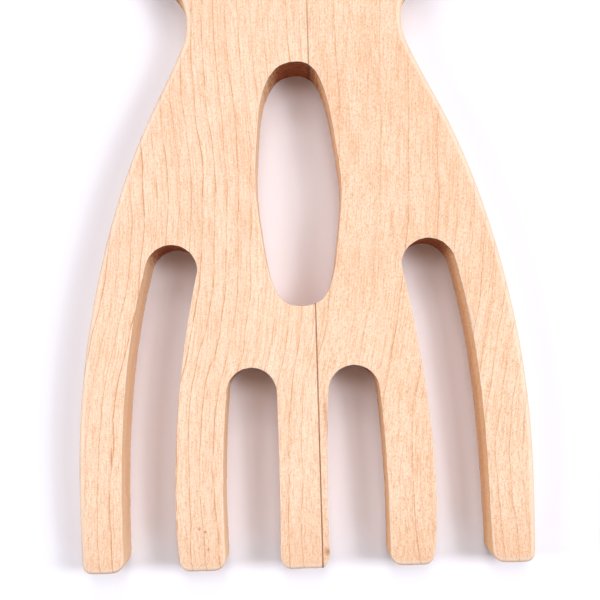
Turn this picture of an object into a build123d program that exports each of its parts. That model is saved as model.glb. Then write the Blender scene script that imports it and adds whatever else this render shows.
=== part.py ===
"""A flat five-tined wooden fork: two edge-glued boards and the glue between them.

The fork lies on its back face. X runs across the tines, Y runs from the tine
tips (low) to the grip (high) and Z is the thickness. Plan positions below are
written as (across, up), where "up" is the height above the tine tips, and the
whole plan is moved down by half the length so the origin is central.
"""

from build123d import *
import os

os.makedirs("parts", exist_ok=True)

# Overall sizes
LENGTH = 190.4          # tine tips to the top of the grip
THICKNESS = 18.0        # board thickness at the grip
TIP_THICKNESS = 14.6    # what is left at the tine tips
MARGIN = 10.0           # how far cutting shapes run past the wood
BLOCK = 2 * LENGTH      # side of the blocks that divide the fork at the glue line

# The glue line
SEAM_X = 3.6            # centre of the glue line, right of the middle
GLUE_FILM = 0.3         # thickness of the cured glue

# Edge treatment
FRONT_ROUND = 2.3       # round-over of the outer edge on the front
BACK_ROUND = 1.4        # round-over of the outer edge on the back
TIP_CORNER = 2.4        # plan radius on the outer corners of the outer tines

# Grip, at the top of the fork
NECK_HALF = 28.45       # half width at the narrowest place
NECK_UP = 143.8         # height of the narrowest place
GRIP_TURN = (34.52, 156.82)     # where the neck hollow turns into the grip
GRIP_SIDE = (39.53, 167.54)     # widest place of the grip
GRIP_SHOULDER = (34.23, 178.5)  # where the side meets the top of the grip

# Flank of the fork from the tip corner up to the neck, right-hand side
FLANK = (
    (59.5, 9.0),
    (58.95, 37.3),
    (53.1, 77.3),
    (39.7, 117.3),
    (30.1, 137.0),
)
FLANK_LEAN = 0.44       # run inwards for each unit of height, where the flank meets the neck

# Long opening below the neck, clockwise from the top
OVAL = (
    (-1.0, 132.8),
    (4.1, 131.6),
    (7.3, 125.7),
    (10.1, 110.8),
    (11.2, 99.5),
    (10.0, 86.5),
    (8.1, 75.3),
    (5.4, 70.4),
    (0.3, 68.8),
    (-4.6, 70.2),
    (-7.6, 75.4),
    (-9.7, 86.2),
    (-11.1, 101.5),
    (-10.3, 114.5),
    (-7.9, 126.9),
    (-5.0, 131.2),
)

# The four slots: left wall upwards, crown, right wall downwards, corner radii
SLOTS = (
    {
        "left": ((-48.15, 4.0), (-48.1, 21.0), (-46.0, 52.0), (-40.4, 80.3)),
        "crown": (-33.6, 85.5),
        "right": ((-27.0, 79.0), (-31.4, 56.0), (-34.2, 26.0), (-34.2, 4.0)),
        "corners": (3.4, 2.4),
    },
    {
        "left": ((-21.5, 4.0), (-21.7, 23.0), (-20.2, 46.0)),
        "crown": (-13.7, 52.9),
        "right": ((-7.2, 46.2), (-7.1, 25.0), (-7.4, 4.0)),
        "corners": (2.8, 2.4),
    },
    {
        "left": ((5.5, 4.0), (5.5, 28.0), (6.4, 46.6)),
        "crown": (13.1, 52.9),
        "right": ((19.6, 46.6), (21.0, 25.0), (21.1, 4.0)),
        "corners": (2.0, 3.0),
    },
    {
        "left": ((33.3, 4.0), (33.4, 29.0), (30.7, 55.0), (26.35, 79.0)),
        "crown": (33.2, 85.5),
        "right": ((40.2, 80.3), (45.0, 55.0), (47.2, 25.0), (47.8, 4.0)),
        "corners": (2.2, 3.8),
    },
)

# The front face is planed down from here to the tips on one long curve
SCOOP_START_UP = 71.0
SCOOP_MIDDLE_UP = 35.0
SCOOP_MIDDLE_DROP = (THICKNESS - TIP_THICKNESS) * (1 - SCOOP_MIDDLE_UP / SCOOP_START_UP) ** 2
SCOOP_BEYOND_DROP = 1.6         # further drop of the curve over the margin past the tips

HALF_LENGTH = LENGTH / 2
HALF_WIDTH = FLANK[0][0]
FACING_FRONT = 0.9              # least Z of the normal of a front face


def plan(point):
    """Plan position with the height counted from the middle of the fork."""
    return (point[0], point[1] - HALF_LENGTH)


def mirrored(point):
    return (-point[0], point[1])


def slot_outline(slot):
    """Filled outline of one slot, open past the tine tips and flared at its mouth."""
    left_wall = [plan(point) for point in slot["left"]]
    right_wall = [plan(point) for point in slot["right"]]
    left_corner, right_corner = slot["corners"]
    left_x = left_wall[0][0]
    right_x = right_wall[-1][0]
    tip_y = -HALF_LENGTH
    left_mouth = (left_x - left_corner, tip_y)
    right_mouth = (right_x + right_corner, tip_y)
    with BuildSketch(Plane.XY) as outline:
        with BuildLine():
            left_edge = Spline(*left_wall)
            right_edge = Spline(*right_wall)
            ThreePointArc(left_edge @ 1, plan(slot["crown"]), right_edge @ 0)
            left_round = TangentArc(left_edge @ 0, left_mouth, tangent=-(left_edge % 0))
            right_round = TangentArc(right_edge @ 1, right_mouth, tangent=right_edge % 1)
            Polyline(
                left_round @ 1,
                (left_mouth[0], tip_y - MARGIN),
                (right_mouth[0], tip_y - MARGIN),
                right_round @ 1,
            )
        make_face()
    return outline.sketch


slot_outlines = [slot_outline(slot) for slot in SLOTS]

# The whole fork in one piece, before it is divided at the glue line
with BuildPart() as blank:
    with BuildSketch(Plane.XY):
        with BuildLine():
            flank_right = Spline(
                *[plan(point) for point in FLANK],
                tangents=((0, 1), (-FLANK_LEAN, 1)),
            )
            neck_right = ThreePointArc(
                flank_right @ 1, plan((NECK_HALF, NECK_UP)), plan(GRIP_TURN)
            )
            side_right = ThreePointArc(
                neck_right @ 1, plan(GRIP_SIDE), plan(GRIP_SHOULDER)
            )
            ThreePointArc(
                side_right @ 1, plan((0, LENGTH)), plan(mirrored(GRIP_SHOULDER))
            )
            side_left = ThreePointArc(
                plan(mirrored(GRIP_SHOULDER)),
                plan(mirrored(GRIP_SIDE)),
                plan(mirrored(GRIP_TURN)),
            )
            neck_left = ThreePointArc(
                side_left @ 1, plan((-NECK_HALF, NECK_UP)), plan(mirrored(FLANK[-1]))
            )
            flank_left = Spline(
                *[plan(mirrored(point)) for point in reversed(FLANK)],
                tangents=((-FLANK_LEAN, -1), (0, -1)),
            )
            Polyline(
                flank_left @ 1,
                (-HALF_WIDTH, -HALF_LENGTH),
                (HALF_WIDTH, -HALF_LENGTH),
                flank_right @ 0,
            )
        make_face()
        tip_corners = vertices().sort_by(Axis.Y)[0:2]
        fillet(tip_corners, radius=TIP_CORNER)
    extrude(amount=THICKNESS)

    # Long hollow planed into the front of the tines
    with BuildSketch(Plane.YZ):
        with BuildLine():
            start = (SCOOP_START_UP - HALF_LENGTH, THICKNESS)
            middle = (SCOOP_MIDDLE_UP - HALF_LENGTH, THICKNESS - SCOOP_MIDDLE_DROP)
            tip = (-HALF_LENGTH, TIP_THICKNESS)
            scoop = ThreePointArc(start, middle, tip)
            beyond = TangentArc(tip, (tip[0] - MARGIN, tip[1] - SCOOP_BEYOND_DROP), tangent=scoop % 1)
            Polyline(
                beyond @ 1,
                (tip[0] - MARGIN, THICKNESS + MARGIN),
                (start[0], THICKNESS + MARGIN),
                start,
            )
        make_face()
    extrude(amount=HALF_WIDTH + MARGIN, both=True, mode=Mode.SUBTRACT)

    front_faces = faces().filter_by(lambda f: f.normal_at(f.center()).Z > FACING_FRONT)
    front_edges = front_faces.edges().filter_by(
        lambda e: len([f for f in front_faces if e in f.edges()]) == 1
    )
    fillet(front_edges, radius=FRONT_ROUND)
    back_edges = faces().sort_by(Axis.Z)[0].edges()
    fillet(back_edges, radius=BACK_ROUND)

    # The opening and the four slots go right through
    with BuildSketch(Plane.XY.offset(-MARGIN)):
        with BuildLine():
            Spline(*[plan(point) for point in OVAL], periodic=True)
        make_face()
        add(slot_outlines)
    extrude(amount=THICKNESS + 2 * MARGIN, mode=Mode.SUBTRACT)

LEFT_FACE_X = SEAM_X - GLUE_FILM / 2
RIGHT_FACE_X = SEAM_X + GLUE_FILM / 2

with BuildPart() as left_board:
    add(blank.part)
    with Locations((LEFT_FACE_X - BLOCK / 2, 0, 0)):
        Box(BLOCK, BLOCK, BLOCK, mode=Mode.INTERSECT)

with BuildPart() as right_board:
    add(blank.part)
    with Locations((RIGHT_FACE_X + BLOCK / 2, 0, 0)):
        Box(BLOCK, BLOCK, BLOCK, mode=Mode.INTERSECT)

with BuildPart() as glue_joint:
    add(blank.part)
    with Locations((SEAM_X, 0, 0)):
        Box(GLUE_FILM, BLOCK, BLOCK, mode=Mode.INTERSECT)

left_board.part.label = "left_board"
right_board.part.label = "right_board"
glue_joint.part.label = "glue_joint"
export_step(left_board.part, "parts/left_board.step")
export_step(right_board.part, "parts/right_board.step")
export_step(glue_joint.part, "parts/glue_joint.step")
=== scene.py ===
"""The look of a flat wooden fork made of two glued boards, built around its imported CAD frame."""

import math

import bmesh
import bpy
import numpy as np
from mathutils import Matrix, Vector


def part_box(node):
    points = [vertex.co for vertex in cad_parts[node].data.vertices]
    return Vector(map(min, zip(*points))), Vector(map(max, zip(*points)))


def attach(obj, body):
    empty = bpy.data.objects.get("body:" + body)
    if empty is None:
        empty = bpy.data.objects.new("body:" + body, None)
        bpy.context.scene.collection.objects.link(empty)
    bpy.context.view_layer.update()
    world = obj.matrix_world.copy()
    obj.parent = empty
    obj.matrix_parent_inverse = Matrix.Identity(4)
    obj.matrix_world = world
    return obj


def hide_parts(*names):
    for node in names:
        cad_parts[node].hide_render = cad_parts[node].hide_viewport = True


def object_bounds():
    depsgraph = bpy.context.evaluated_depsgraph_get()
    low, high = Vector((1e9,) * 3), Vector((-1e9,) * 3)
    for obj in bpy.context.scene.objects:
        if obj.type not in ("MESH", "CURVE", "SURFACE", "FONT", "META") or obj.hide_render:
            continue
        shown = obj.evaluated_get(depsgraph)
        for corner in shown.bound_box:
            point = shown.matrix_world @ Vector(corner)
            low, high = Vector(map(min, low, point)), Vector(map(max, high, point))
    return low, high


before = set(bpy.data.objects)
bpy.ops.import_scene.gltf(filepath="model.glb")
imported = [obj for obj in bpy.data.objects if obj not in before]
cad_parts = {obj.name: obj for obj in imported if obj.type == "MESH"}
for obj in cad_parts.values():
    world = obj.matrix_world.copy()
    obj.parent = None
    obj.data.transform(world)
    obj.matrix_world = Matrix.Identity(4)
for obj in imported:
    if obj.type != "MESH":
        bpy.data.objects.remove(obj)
CAD_LOW, CAD_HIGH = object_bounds()
MM = 0.001


def srgb(r, g, b):
    """Linear colour of an 8-bit display colour."""
    values = []
    for v in (r, g, b):
        v = v / 255
        values.append(v / 12.92 if v <= 0.04045 else ((v + 0.055) / 1.055) ** 2.4)
    return (*values, 1.0)


# ---------------------------------------------------------------- measures of the boards
# Millimetres, unless another unit is given. "Up" is counted from the tine tips.
COARSE_VOXEL = 0.6 * MM         # metres
FINE_VOXEL = 0.35 * MM          # metres
VOXEL = FINE_VOXEL

WELD = 0.001                    # vertices nearer than this are one
IN_PLANE = 0.01                 # a face within this of the glue plane is the glued face
CUT_TOLERANCE = 0.002
PAST_GLUE = 3                   # how far a board runs past its glued face while it is softened

SOFTEN_PASSES = 2
RUB_PASSES = 14                 # at the coarse voxel size
RUB_LEVELS = 5
RUB_UP = (15, 3)                # where the rubbing starts and where it is full
RUB_ASIDE = (7, 9)              # the same, outwards from the middle of the fork
RUB_HEIGHT = (0.4, 0.7)         # the same, as a share of the thickness

WALL_TILT = (0.5, 0.9)          # how upright a surface is before it counts as a wall
REACH_ROW = 2                   # height of the rows in which the outer edge is looked for
OUTER_BAND = (3.5, 5.0)         # distance from the outer edge that keeps a wall unsawn
GRIP_BAND = (40, 44)            # distance below the top of the grip that keeps a wall unsawn

# Waves per millimetre along X, Y and Z, seed, height
SAW_RIPPLE = (                  # running through the thickness
    ((0.6, 0.6, 0.05), 3, 0.06),
    ((2.2, 2.2, 0.35), 4, 0.05),
)
SANDING = (                     # long and shallow, along the grain
    ((0.06, 0.03, 0.06), 5, 0.03),
    ((0.5, 0.08, 0.5), 6, 0.012),
)
SET_BACK = 0.05                 # keeps the worked surface inside the CAD shape

# Shallow flats where an edge was pared again: across, up, lean of the edge, length, width, depth
FLATS = (
    (43.4, 63.3, -0.19, 5.5, 1.1, 1.3),
    (40.2, 77.5, -0.3, 3.0, 0.9, 0.8),
)
FLAT_HEIGHT = (0.6, 0.95)       # share of the thickness over which a flat comes in

# Small dark marks in the wood: across, up, length along the grain, width, strength
MARKS = (
    (-28.3, 11.5, 0.30, 0.30, 1.0),
    (-26.8, 10.7, 0.35, 0.30, 1.0),
    (-26.1, 6.1, 0.45, 0.30, 0.8),
    (-50.6, 30.6, 2.4, 0.20, 0.7),
    (5.0, 4.6, 0.9, 0.9, 0.8),
    (5.3, 41.5, 4.0, 0.5, 0.5),
    (5.9, 36.0, 3.5, 0.35, 0.4),
)
STARVED = 0.1                   # how far the glue lies below the wood around it

# ---------------------------------------------------------------- measures of the wood's look
# Curves along Y: "bow" is the lean of the grain, "fan" how it spreads. Curves
# across X: "rings" counts the growth rings passed, "spacing" is their width.
# "colours" are pale wood, wood, darker wood and ring line. "mottle" is the
# strength of the flecks, "marked" that of the ring lines.
LEFT_GRAIN = {
    "bow": (
        (-95, -4.2), (-70, -3.6), (-51, -2.6), (-34, 0.4), (-10, 2.3),
        (8, 1.8), (25, 0.6), (40, 0), (95, 0),
    ),
    "fan": ((-95, 1.12), (-51, 1.10), (-10, 1.0), (40, 0.97), (95, 0.97)),
    "rings": ((-66, -20.4), (-42, -13.0), (-26.6, -8.0), (-13.9, -4.0), (8, 2.6)),
    "spacing": ((-66, 3.2), (8, 3.3)),
    "colours": ((241, 211, 188), (235, 198, 172), (214, 162, 125), (198, 136, 90)),
    "mottle": 0.35,
    "marked": 0.90,
}
RIGHT_GRAIN = {
    "bow": (
        (-95, -8.6), (-71, -9.4), (-59, -8.8), (-44, -6.5), (-34, -4.5),
        (-24, -2.7), (-11, -1.3), (2, 0), (50, 1.3), (95, 2),
    ),
    "fan": ((-95, 1.0), (95, 1.0)),
    "rings": (
        (-4, -0.4), (14.1, 1), (24.7, 2), (32.8, 3), (40.9, 4),
        (45.5, 5), (50, 6.1), (54, 7.3), (76, 14),
    ),
    "spacing": ((-4, 12.9), (14, 11.5), (25, 9), (37, 7.5), (43, 5.0), (52, 3.7), (76, 3.3)),
    "colours": ((239, 208, 184), (233, 194, 166), (211, 158, 119), (192, 128, 84)),
    "mottle": 0.48,
    "marked": 0.62,
}
BOW_LIMITS = (-12, 12)
FAN_LIMITS = (0.8, 1.2)
SPACING_LIMITS = (0, 14)

# Noise patterns: waves per metre along X, Y and Z, detail, roughness
DRIFT = ((60, 26, 60), 2.0, 0.5)            # slow wander of the growth rings
WAVER = ((420, 110, 420), 2.0, 0.5)         # their small waver
BROKEN = ((1100, 260, 1100), 2.0, 0.6)      # gaps in the ring lines
CLOUD = ((150, 45, 150), 3.0, 0.6)          # broad pale and darker patches
STREAK = ((2500, 110, 2500), 2.0, 0.6)      # streaks along the grain
FIBRE = ((3800, 380, 3800), 1.0, 0.5)
FLECK = ((2900, 1100, 2900), 1.0, 0.5)
GRIT = ((4200, 3600, 4200), 1.0, 0.5)       # the finest speckle
SAWN = ((1500, 1500, 160), 2.0, 0.6)        # saw lines through the thickness
TORN = ((520, 900, 1700), 3.0, 0.65)        # torn end grain
BLOTCH = ((400, 160, 400), 2.0, 0.5)        # uneven glue

DRIFT_REACH = 0.0042            # metres
WAVER_REACH = 0.0005            # metres
RING_SLOPE = 0.22               # how far a ring leans aside through the thickness
RING_STRENGTH = (0.40, 1.0)     # faintest and strongest ring
LINE_EDGE = (0.38, 0.14)        # distance to the ring over which its line comes in
SHADE_EDGE = (1.7, 0.2)         # the same for the darker wood beside it
SHADE_SHARE = 0.26

PALE_TINES = srgb(248, 224, 200)
# Painted highlight on the rounded edges, and how strongly it is laid on
PAINTED_EDGE_HIGHLIGHT = srgb(250, 232, 214)
EDGE_HIGHLIGHT_SHARE = 0.45
WALL = srgb(220, 172, 116)
# Painted light: the paler colour of walls that face +X
PAINTED_LIT_WALL = srgb(244, 214, 182)
END = srgb(204, 148, 100)
# Dark brown of the slot and opening tops: partly scorch, partly painted shade
SCORCHED_SHADED_CROWN = srgb(126, 56, 15)
DARK_MARK = srgb(168, 96, 52)
UPRIGHT = (0.75, 0.35)          # Z of the normal where a wall starts and where it is full
CROWN_DARKENING_UP = (12, 22)            # the tips below this get neither scorch nor painted shade
WOOD_SPECULAR = 0.08
RELIEF_STRENGTH = 0.35
RELIEF_DEPTH = 0.00012          # metres

GLUE_DARK = srgb(206, 148, 106)
GLUE_PALE = srgb(226, 174, 134)
GLUE_OPEN = srgb(166, 108, 70)
GLUE_WALL = srgb(72, 34, 16)

# ---------------------------------------------------------------- measures of the studio
FLOOR_REACH = 3.0
FLOOR_GAP = 0.00005
PAPER = (0.84, 0.84, 0.925, 1)
PAPER_ROUGHNESS = 0.9
PAPER_SPECULAR = 0.1

CAMERA_HEIGHT = 0.3365
CAMERA_TILT = math.radians(2.337)
CAMERA_ROLL = math.radians(1.65)
CAMERA_X = -0.00078
CAMERA_UP = 0.0573              # camera's distance from the tine tips along Y
SENSOR = 36.0
FOCAL_SHARE = 1225 / 600        # focal length as a share of the image width
CLIP = (0.01, 20.0)

BOX_SIZE = 0.26
# Softboxes a metre away: azimuth from the grip's end towards +X, elevation, power
BOXES = {
    "right_low": (90, 30, 1.9),
    "right_middle": (90, 55, 2.85),
    "right_high": (90, 63, 1.9),
    "left_low": (270, 30, 3.25),
    "left_high": (270, 55, 1.45),
    "grip_low": (0, 35, 0.35),
    "grip_middle": (0, 55, 1.35),
    "grip_high": (0, 75, 1.6),
    "tip_right": (135, 40, 0.5),
    "tip_left": (225, 40, 0.5),
}
SKY = (1.0, 0.98, 0.98, 1)
SKY_STRENGTH = 0.20
LIGHT_BOUNCES = 8
DIFFUSE_BOUNCES = 6


# ---------------------------------------------------------------- noise
HASH_PLACE = (374761393, 668265263, 2147483647)
HASH_SEED = 974634777
HASH_STIR = 1274126177


def hashed(ix, iy, iz, seed):
    """Deterministic value from -1 to 1 at each whole-number lattice point."""
    n = ix * HASH_PLACE[0] + iy * HASH_PLACE[1] + iz * HASH_PLACE[2] + seed * HASH_SEED
    n = (n ^ (n >> 13)) * HASH_STIR
    n = n ^ (n >> 16)
    return (n & 0xFFFF) / 32767.5 - 1.0


def noise(p, seed=0):
    """Smooth value noise at the rows of p."""
    base = np.floor(p).astype(np.int64)
    f = p - base
    f = f * f * (3 - 2 * f)
    total = np.zeros(len(p))
    for dx in (0, 1):
        for dy in (0, 1):
            for dz in (0, 1):
                w = np.abs(1 - dx - f[:, 0]) * np.abs(1 - dy - f[:, 1]) * np.abs(1 - dz - f[:, 2])
                total += w * hashed(base[:, 0] + dx, base[:, 1] + dy, base[:, 2] + dz, seed)
    return total


def layered(co, layers):
    """Sum of the noise layers at the places co, which are in metres."""
    return sum(noise(co / MM * np.array(waves), seed) * height for waves, seed, height in layers)


def smoothstep(low, high, x):
    t = np.clip((x - low) / (high - low), 0, 1)
    return t * t * (3 - 2 * t)


# ---------------------------------------------------------------- boards
def column(mesh, what):
    """A vertex property of the mesh as rows of three numbers."""
    values = np.zeros(len(mesh.vertices) * 3)
    mesh.vertices.foreach_get(what, values)
    return values.reshape(-1, 3)


def baked(piece):
    """Swap the piece's mesh for the result of its modifiers."""
    old = piece.data
    graph = bpy.context.evaluated_depsgraph_get()
    piece.data = bpy.data.meshes.new_from_object(piece.evaluated_get(graph))
    piece.modifiers.clear()
    bpy.data.meshes.remove(old)


def grown_copy(node, name, plane_x, side):
    """A copy of a CAD board that runs a little past its glued face."""
    work = bmesh.new()
    work.from_mesh(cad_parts[node].data)
    bmesh.ops.remove_doubles(work, verts=work.verts[:], dist=WELD * MM)
    glued = [
        face for face in work.faces
        if all(abs(vert.co.x - plane_x) < IN_PLANE * MM for vert in face.verts)
    ]
    grown = bmesh.ops.extrude_face_region(work, geom=glued)
    ends = [item for item in grown["geom"] if isinstance(item, bmesh.types.BMVert)]
    bmesh.ops.translate(work, vec=(side * PAST_GLUE * MM, 0, 0), verts=ends)
    bmesh.ops.delete(work, geom=[face for face in glued if face.is_valid], context="FACES")
    mesh = bpy.data.meshes.new(name)
    work.to_mesh(mesh)
    work.free()
    return mesh


def trim(mesh, plane_x, side):
    """Cut the mesh off square at the glued face and close it there."""
    work = bmesh.new()
    work.from_mesh(mesh)
    cut = bmesh.ops.bisect_plane(
        work,
        geom=work.verts[:] + work.edges[:] + work.faces[:],
        dist=CUT_TOLERANCE * MM,
        plane_co=(plane_x, 0, 0),
        plane_no=(side, 0, 0),
        clear_outer=True,
    )
    rim = [item for item in cut["geom_cut"] if isinstance(item, bmesh.types.BMEdge)]
    bmesh.ops.holes_fill(work, edges=rim, sides=0)
    for edge in rim:
        if edge.is_valid:
            edge.smooth = False
    work.to_mesh(mesh)
    work.free()


def soften(piece):
    """Even out the mesh and take the sharpness off its edges."""
    remesh = piece.modifiers.new("remesh", "REMESH")
    remesh.mode = "VOXEL"
    remesh.voxel_size = VOXEL
    remesh.adaptivity = 0.0
    smooth = piece.modifiers.new("soften", "SMOOTH")
    smooth.factor = 0.5
    smooth.iterations = SOFTEN_PASSES
    baked(piece)


def rub_inner_edges(piece):
    """Rub the inner edges round towards the tips of every tine but the middle one."""
    co = column(piece.data, "co")
    rubbed = smoothstep(RUB_UP[0] * MM, RUB_UP[1] * MM, co[:, 1] - CAD_LOW.y)
    rubbed *= (
        smoothstep(RUB_ASIDE[0] * MM, RUB_ASIDE[1] * MM, np.abs(co[:, 0]))
        * smoothstep(*RUB_HEIGHT, co[:, 2] / CAD_HIGH.z)
    )
    group = piece.vertex_groups.new(name="rubbed")
    levels = np.round(rubbed * RUB_LEVELS).astype(int)
    for level in range(1, RUB_LEVELS + 1):
        group.add(np.nonzero(levels == level)[0].tolist(), level / RUB_LEVELS, "REPLACE")
    rub = piece.modifiers.new("rub", "SMOOTH")
    rub.factor = 0.5
    rub.iterations = int(RUB_PASSES * (COARSE_VOXEL / VOXEL) ** 2)
    rub.vertex_group = "rubbed"
    baked(piece)
    piece.vertex_groups.clear()


def inner_walls(co, side):
    """How far each place belongs to the inner walls, from 0 to 1.

    The outer edge is told from them by how far out the board reaches at each height.
    """
    outward = -side * co[:, 0]
    row = np.floor((co[:, 1] - CAD_LOW.y) / (REACH_ROW * MM)).astype(int)
    row -= row.min()
    reach = np.zeros(row.max() + 1)
    np.maximum.at(reach, row, outward)
    inner = smoothstep(OUTER_BAND[0] * MM, OUTER_BAND[1] * MM, reach[row] - outward)
    inner *= smoothstep(GRIP_BAND[0] * MM, GRIP_BAND[1] * MM, CAD_HIGH.y - co[:, 1])
    return inner


def work_surface(mesh, side):
    """Give the mesh the unevenness of sawing and sanding, inside the CAD box."""
    co = column(mesh, "co")
    no = column(mesh, "normal")
    wall = smoothstep(*WALL_TILT, 1 - np.abs(no[:, 2]))
    inner = inner_walls(co, side)
    sawn = wall * inner * layered(co, SAW_RIPPLE)
    sanded = (1 - wall) * layered(co, SANDING)
    shift = sawn + sanded - SET_BACK
    co += no * (shift * MM)[:, None]
    for across, up, lean, length, width, depth in FLATS:
        from_middle = co[:, 1] - CAD_LOW.y - up * MM
        along = from_middle / (length * MM)
        aside = co[:, 0] - across * MM - lean * from_middle
        dent = np.exp(-along * along - (aside / (width * MM)) ** 2)
        co[:, 2] -= depth * MM * dent * smoothstep(*FLAT_HEIGHT, co[:, 2] / CAD_HIGH.z)
    co = np.clip(co, np.array(CAD_LOW), np.array(CAD_HIGH))
    mesh.vertices.foreach_set("co", co.ravel())
    mesh.polygons.foreach_set("use_smooth", np.ones(len(mesh.polygons), dtype=bool))


def store_marks(mesh):
    """Keep the strength of the small dark marks as an attribute, for the wood to colour."""
    co = column(mesh, "co")
    marks = np.zeros(len(co))
    for across, up, length, width, strength in MARKS:
        along = (co[:, 1] - CAD_LOW.y - up * MM) / (length * MM)
        aside = (co[:, 0] - across * MM) / (width * MM)
        marks += strength * np.exp(-along * along - aside * aside)
    marks *= co[:, 2] > 0.5 * CAD_HIGH.z
    stored = mesh.attributes.new("marks", "FLOAT", "POINT")
    stored.data.foreach_set("value", np.clip(marks, 0, 1))


def sculpt(node, name, material, side):
    """A fine, softened copy of a CAD board with the marks of sawing and sanding.

    side is the direction along X in which the board's glued face looks.
    """
    low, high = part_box(node)
    plane_x = high.x if side > 0 else low.x
    piece = bpy.data.objects.new(name, grown_copy(node, name, plane_x, side))
    bpy.context.scene.collection.objects.link(piece)
    soften(piece)
    rub_inner_edges(piece)
    mesh = piece.data
    work_surface(mesh, side)
    trim(mesh, plane_x, side)
    mesh.update()
    store_marks(mesh)
    mesh.materials.clear()
    mesh.materials.append(material)
    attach(piece, "root")
    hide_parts(node)


def glue_line(material):
    """The glue film, starved a hair below the wood around it."""
    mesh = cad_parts["glue_joint"].data.copy()
    mesh.name = "glue_line"
    co = column(mesh, "co")
    no = column(mesh, "normal")
    co += no * np.array([0.0, -STARVED * MM, -STARVED * MM])
    mesh.vertices.foreach_set("co", co.ravel())
    mesh.update()
    mesh.materials.clear()
    mesh.materials.append(material)
    piece = bpy.data.objects.new("glue_line", mesh)
    bpy.context.scene.collection.objects.link(piece)
    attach(piece, "root")
    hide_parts("glue_joint")


# ---------------------------------------------------------------- materials
class Nodes:
    """Short hand for building a material's node tree."""

    def __init__(self, name):
        self.material = bpy.data.materials.new(name)
        self.material.use_nodes = True
        self.tree = self.material.node_tree
        self.tree.nodes.clear()
        self.shader = self.add("ShaderNodeBsdfPrincipled")
        out = self.add("ShaderNodeOutputMaterial")
        self.tree.links.new(self.shader.outputs[0], out.inputs["Surface"])

    def add(self, kind, **settings):
        node = self.tree.nodes.new(kind)
        for key, value in settings.items():
            setattr(node, key, value)
        return node

    def feed(self, socket, value):
        """Link a socket to another one, or set it to a number or a colour."""
        if isinstance(value, bpy.types.NodeSocket):
            self.tree.links.new(value, socket)
        else:
            socket.default_value = value

    def math(self, operation, a, b=0.0):
        node = self.add("ShaderNodeMath", operation=operation)
        self.feed(node.inputs[0], a)
        self.feed(node.inputs[1], b)
        return node.outputs[0]

    def times(self, a, b):
        return self.math("MULTIPLY", a, b)

    def plus(self, a, b):
        return self.math("ADD", a, b)

    def minus(self, a, b):
        return self.math("SUBTRACT", a, b)

    def noise(self, vector, scale, detail, roughness):
        node = self.add("ShaderNodeTexNoise")
        self.feed(node.inputs["Vector"], self.stretch(vector, scale))
        node.inputs["Scale"].default_value = 1.0
        node.inputs["Detail"].default_value = detail
        node.inputs["Roughness"].default_value = roughness
        return node.outputs[0]

    def stretch(self, vector, scale):
        node = self.add("ShaderNodeMapping")
        self.feed(node.inputs["Vector"], vector)
        node.inputs["Scale"].default_value = scale
        return node.outputs[0]

    def range(self, value, low, high, to_low=0.0, to_high=1.0, smooth=True):
        node = self.add("ShaderNodeMapRange")
        node.interpolation_type = "SMOOTHSTEP" if smooth else "LINEAR"
        self.feed(node.inputs["Value"], value)
        node.inputs["From Min"].default_value = low
        node.inputs["From Max"].default_value = high
        node.inputs["To Min"].default_value = to_low
        node.inputs["To Max"].default_value = to_high
        return node.outputs["Result"]

    def mix(self, amount, a, b):
        node = self.add("ShaderNodeMix", data_type="RGBA")
        self.feed(node.inputs["Factor"], amount)
        self.feed(node.inputs["A"], a)
        self.feed(node.inputs["B"], b)
        return node.outputs["Result"]

    def split(self, vector):
        """The X, Y and Z of a vector."""
        node = self.add("ShaderNodeSeparateXYZ")
        self.feed(node.inputs[0], vector)
        return node.outputs

    def place(self):
        return self.add("ShaderNodeTexCoord").outputs["Object"]

    def facing(self):
        """The X, Y and Z of the surface's normal."""
        node = self.add("ShaderNodeSeparateXYZ")
        self.feed(node.inputs[0], self.add("ShaderNodeNewGeometry").outputs["Normal"])
        return node.outputs

    def curve(self, value, points, low, high):
        """A smooth curve through (value, result) points; the value is in metres, the points in mm."""
        first, last = points[0][0], points[-1][0]
        node = self.add("ShaderNodeFloatCurve")
        curve = node.mapping.curves[0]
        while len(curve.points) > 2:
            curve.points.remove(curve.points[-1])
        scaled = [((p - first) / (last - first), (q - low) / (high - low)) for p, q in points]
        curve.points[0].location = scaled[0]
        curve.points[1].location = scaled[-1]
        for place in scaled[1:-1]:
            curve.points.new(*place)
        node.mapping.update()
        self.feed(node.inputs["Value"], self.range(value, first * MM, last * MM, smooth=False))
        return self.range(node.outputs[0], 0.0, 1.0, low, high, smooth=False)


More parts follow.
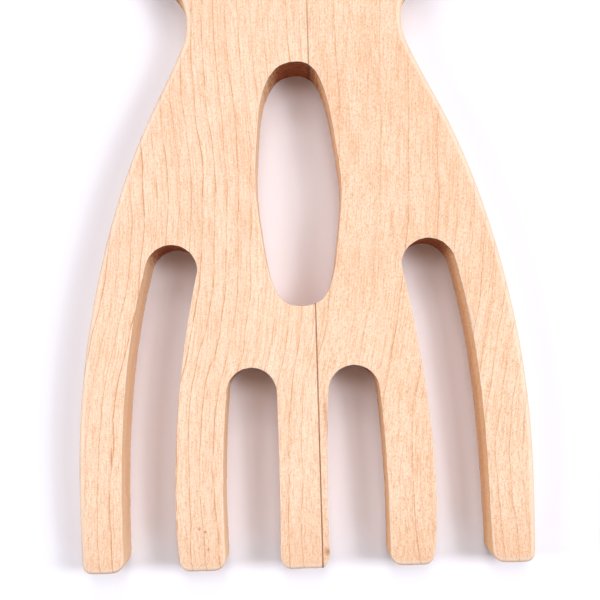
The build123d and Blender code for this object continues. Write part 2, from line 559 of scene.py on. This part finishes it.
def wood(name, bow, fan, rings, spacing, colours, mottle, marked):
    """Pale maple, from one of the grain tables above."""
    n = Nodes(name)
    pale, mid, tan, vein = [srgb(*colour) for colour in colours]
    place = n.place()
    x, y, z = n.split(place)
    drift = n.noise(place, *DRIFT)
    waver = n.noise(place, *WAVER)
    straight = n.minus(x, n.times(n.curve(y, bow, *BOW_LIMITS), MM))
    flow = n.add("ShaderNodeCombineXYZ")
    for socket, value in zip(flow.inputs, (straight, y, z)):
        n.feed(socket, value)
    flow = flow.outputs[0]

    # Place across the growth rings
    across = n.math("DIVIDE", straight, n.curve(y, fan, *FAN_LIMITS))
    across = n.plus(across, n.times(z, RING_SLOPE))
    across = n.plus(across, n.times(n.minus(drift, 0.5), DRIFT_REACH))
    across = n.plus(across, n.times(n.minus(waver, 0.5), WAVER_REACH))
    count = n.curve(across, rings, rings[0][1], rings[-1][1])
    ring = n.math("FRACT", count)
    own = n.add("ShaderNodeTexWhiteNoise", noise_dimensions="1D")
    n.feed(own.inputs["W"], n.math("FLOOR", count))
    strength = n.range(own.outputs["Value"], 0.0, 1.0, *RING_STRENGTH, smooth=False)
    # Distance to the next ring line, in millimetres
    away = n.times(n.minus(1.0, ring), n.curve(across, spacing, *SPACING_LIMITS))
    broken = n.noise(flow, *BROKEN)
    line = n.times(n.range(away, *LINE_EDGE), strength)
    line = n.times(line, n.range(broken, 0.38, 0.58, 0.30, 1.0))
    shade = n.times(n.range(away, *SHADE_EDGE), strength)

    cloud = n.noise(flow, *CLOUD)
    streak = n.noise(flow, *STREAK)
    fibre = n.noise(flow, *FIBRE)
    fleck = n.noise(flow, *FLECK)
    grit = n.noise(place, *GRIT)

    def laid(colour, layers):
        """Lay colours over the wood: what drives each, where it starts and is full, its strength."""
        for driver, start, full, share, over in layers:
            colour = n.mix(n.range(driver, start, full, 0.0, share), colour, over)
        return colour

    colour = n.mix(n.range(cloud, 0.35, 0.65), mid, pale)
    colour = laid(colour, (
        (y, 0.0, -0.04, 0.38, PALE_TINES),
        (y, -0.074, -0.092, 0.30, tan),
    ))
    colour = n.mix(n.times(shade, SHADE_SHARE), colour, tan)
    colour = laid(colour, (
        (streak, 0.45, 0.70, 0.66, tan),
        (streak, 0.50, 0.32, 0.45, pale),
        (fibre, 0.53, 0.74, 0.60, tan),
        (fleck, 0.52, 0.68, mottle, tan),
        (fleck, 0.46, 0.32, mottle, pale),
        (grit, 0.50, 0.70, 0.60, tan),
        (grit, 0.48, 0.28, 0.60, pale),
    ))

    facing = n.facing()
    level = n.math("ABSOLUTE", facing[2])
    upright = n.range(level, *UPRIGHT)
    # Painted highlight: the rounded edges are painted paler
    edge = n.times(n.range(level, 0.99, 0.86), n.range(level, 0.30, 0.60))
    colour = n.mix(n.times(edge, EDGE_HIGHLIGHT_SHARE), colour, PAINTED_EDGE_HIGHLIGHT)
    colour = n.mix(n.times(line, marked), colour, vein)

    # Walls, with painted light where they face +X, and browner where they show end grain
    painted_light_right = n.times(upright, n.range(facing[0], 0.4, 0.95, 0.0, 0.55))
    end_grain = n.times(upright, n.range(n.math("ABSOLUTE", facing[1]), 0.20, 0.90))
    sawn = n.noise(place, *SAWN)
    torn = n.noise(place, *TORN)
    colour = n.mix(n.times(upright, n.range(sawn, 0.35, 0.65, 0.30, 0.65)), colour, WALL)
    colour = n.mix(painted_light_right, colour, PAINTED_LIT_WALL)
    colour = n.mix(n.times(end_grain, n.range(torn, 0.38, 0.62, 0.35, 0.75)), colour, END)
    # The tops of the slots and of the opening, which face -Y, are painted dark brown: partly scorch
    # from the cutter, partly painted shade
    crown_scorch_and_shade = n.times(upright, n.range(facing[1], -0.20, -0.90))
    crown_scorch_and_shade = n.times(crown_scorch_and_shade, n.range(y, *[CAD_LOW.y + up * MM for up in CROWN_DARKENING_UP]))
    colour = n.mix(n.times(crown_scorch_and_shade, n.range(torn, 0.38, 0.62, 0.78, 1.0)), colour, SCORCHED_SHADED_CROWN)
    mark = n.add("ShaderNodeAttribute", attribute_name="marks").outputs["Fac"]
    colour = n.mix(mark, colour, DARK_MARK)

    n.feed(n.shader.inputs["Base Color"], colour)
    n.feed(n.shader.inputs["Roughness"], n.range(streak, 0.3, 0.7, 0.58, 0.70))
    n.shader.inputs["Specular IOR Level"].default_value = WOOD_SPECULAR
    bump = n.add("ShaderNodeBump")
    bump.inputs["Strength"].default_value = RELIEF_STRENGTH
    bump.inputs["Distance"].default_value = RELIEF_DEPTH
    relief = n.plus(streak, n.times(fleck, 0.6))
    relief = n.plus(relief, n.times(n.times(upright, torn), 2.0))
    relief = n.minus(relief, n.times(line, 0.4))
    n.feed(bump.inputs["Height"], relief)
    n.feed(n.shader.inputs["Normal"], bump.outputs[0])
    return n.material


def glue():
    """Cured glue, darker where the joint stands open towards the tips and on the walls."""
    n = Nodes("glue")
    place = n.place()
    up = n.split(place)[1]
    blotch = n.noise(place, *BLOTCH)
    open_joint = n.times(n.range(up, 0.0, -0.03), n.range(blotch, 0.30, 0.60, 0.55, 1.0))
    colour = n.mix(n.range(blotch, 0.35, 0.65), GLUE_DARK, GLUE_PALE)
    colour = n.mix(open_joint, colour, GLUE_OPEN)
    level = n.math("ABSOLUTE", n.facing()[2])
    colour = n.mix(n.range(level, *UPRIGHT), colour, GLUE_WALL)
    n.feed(n.shader.inputs["Base Color"], colour)
    n.feed(n.shader.inputs["Roughness"], n.range(blotch, 0.3, 0.7, 0.45, 0.7))
    return n.material


# ---------------------------------------------------------------- the fork
left_wood = wood("left_wood", **LEFT_GRAIN)
right_wood = wood("right_wood", **RIGHT_GRAIN)
glue_material = glue()
sculpt("left_board", "left_board_wood", left_wood, 1)
sculpt("right_board", "right_board_wood", right_wood, -1)
glue_line(glue_material)

# ---------------------------------------------------------------- floor
floor_mesh = bpy.data.meshes.new("floor")
corners = [(-FLOOR_REACH, -FLOOR_REACH, 0), (FLOOR_REACH, -FLOOR_REACH, 0)]
corners += [(FLOOR_REACH, FLOOR_REACH, 0), (-FLOOR_REACH, FLOOR_REACH, 0)]
floor_mesh.from_pydata(corners, [], [(0, 1, 2, 3)])
floor = bpy.data.objects.new("floor", floor_mesh)
bpy.context.scene.collection.objects.link(floor)
paper = Nodes("paper")
paper.shader.inputs["Base Color"].default_value = PAPER
paper.shader.inputs["Roughness"].default_value = PAPER_ROUGHNESS
paper.shader.inputs["Specular IOR Level"].default_value = PAPER_SPECULAR
floor_mesh.materials.append(paper.material)
floor.location.z = CAD_LOW.z - FLOOR_GAP

# ---------------------------------------------------------------- camera
camera_data = bpy.data.cameras.new("camera")
camera_data.sensor_width = SENSOR
camera_data.lens = SENSOR * FOCAL_SHARE
camera_data.clip_start, camera_data.clip_end = CLIP
camera = bpy.data.objects.new("camera", camera_data)
bpy.context.scene.collection.objects.link(camera)
turn = Matrix.Rotation(-CAMERA_ROLL, 4, "Z")
tilt = Matrix.Rotation(CAMERA_TILT, 4, "X")
place = Matrix.Translation((CAMERA_X, CAD_LOW.y + CAMERA_UP, CAMERA_HEIGHT))
camera.matrix_world = place @ turn @ tilt
bpy.context.scene.camera = camera


# ---------------------------------------------------------------- light
def softbox(name, azimuth, elevation, power):
    """A square softbox a metre away, facing the middle of the scene."""
    turn_angle, rise = math.radians(azimuth), math.radians(elevation)
    position = Vector((
        math.cos(rise) * math.sin(turn_angle),
        math.cos(rise) * math.cos(turn_angle),
        math.sin(rise),
    ))
    data = bpy.data.lights.new(name, "AREA")
    data.shape = "SQUARE"
    data.size = BOX_SIZE
    data.energy = power
    lamp = bpy.data.objects.new(name, data)
    bpy.context.scene.collection.objects.link(lamp)
    lamp.location = position
    lamp.rotation_mode = "QUATERNION"
    lamp.rotation_quaternion = (-position).to_track_quat("-Z", "Y")


for box_name, (azimuth, elevation, power) in BOXES.items():
    softbox(box_name, azimuth, elevation, power)
world = bpy.data.worlds.new("studio")
bpy.context.scene.world = world
world.use_nodes = True
sky = world.node_tree.nodes["Background"]
sky.inputs["Color"].default_value = SKY
sky.inputs["Strength"].default_value = SKY_STRENGTH

scene = bpy.context.scene
scene.view_settings.view_transform = "Standard"
scene.view_settings.look = "None"
scene.cycles.max_bounces = LIGHT_BOUNCES
scene.cycles.diffuse_bounces = DIFFUSE_BOUNCES
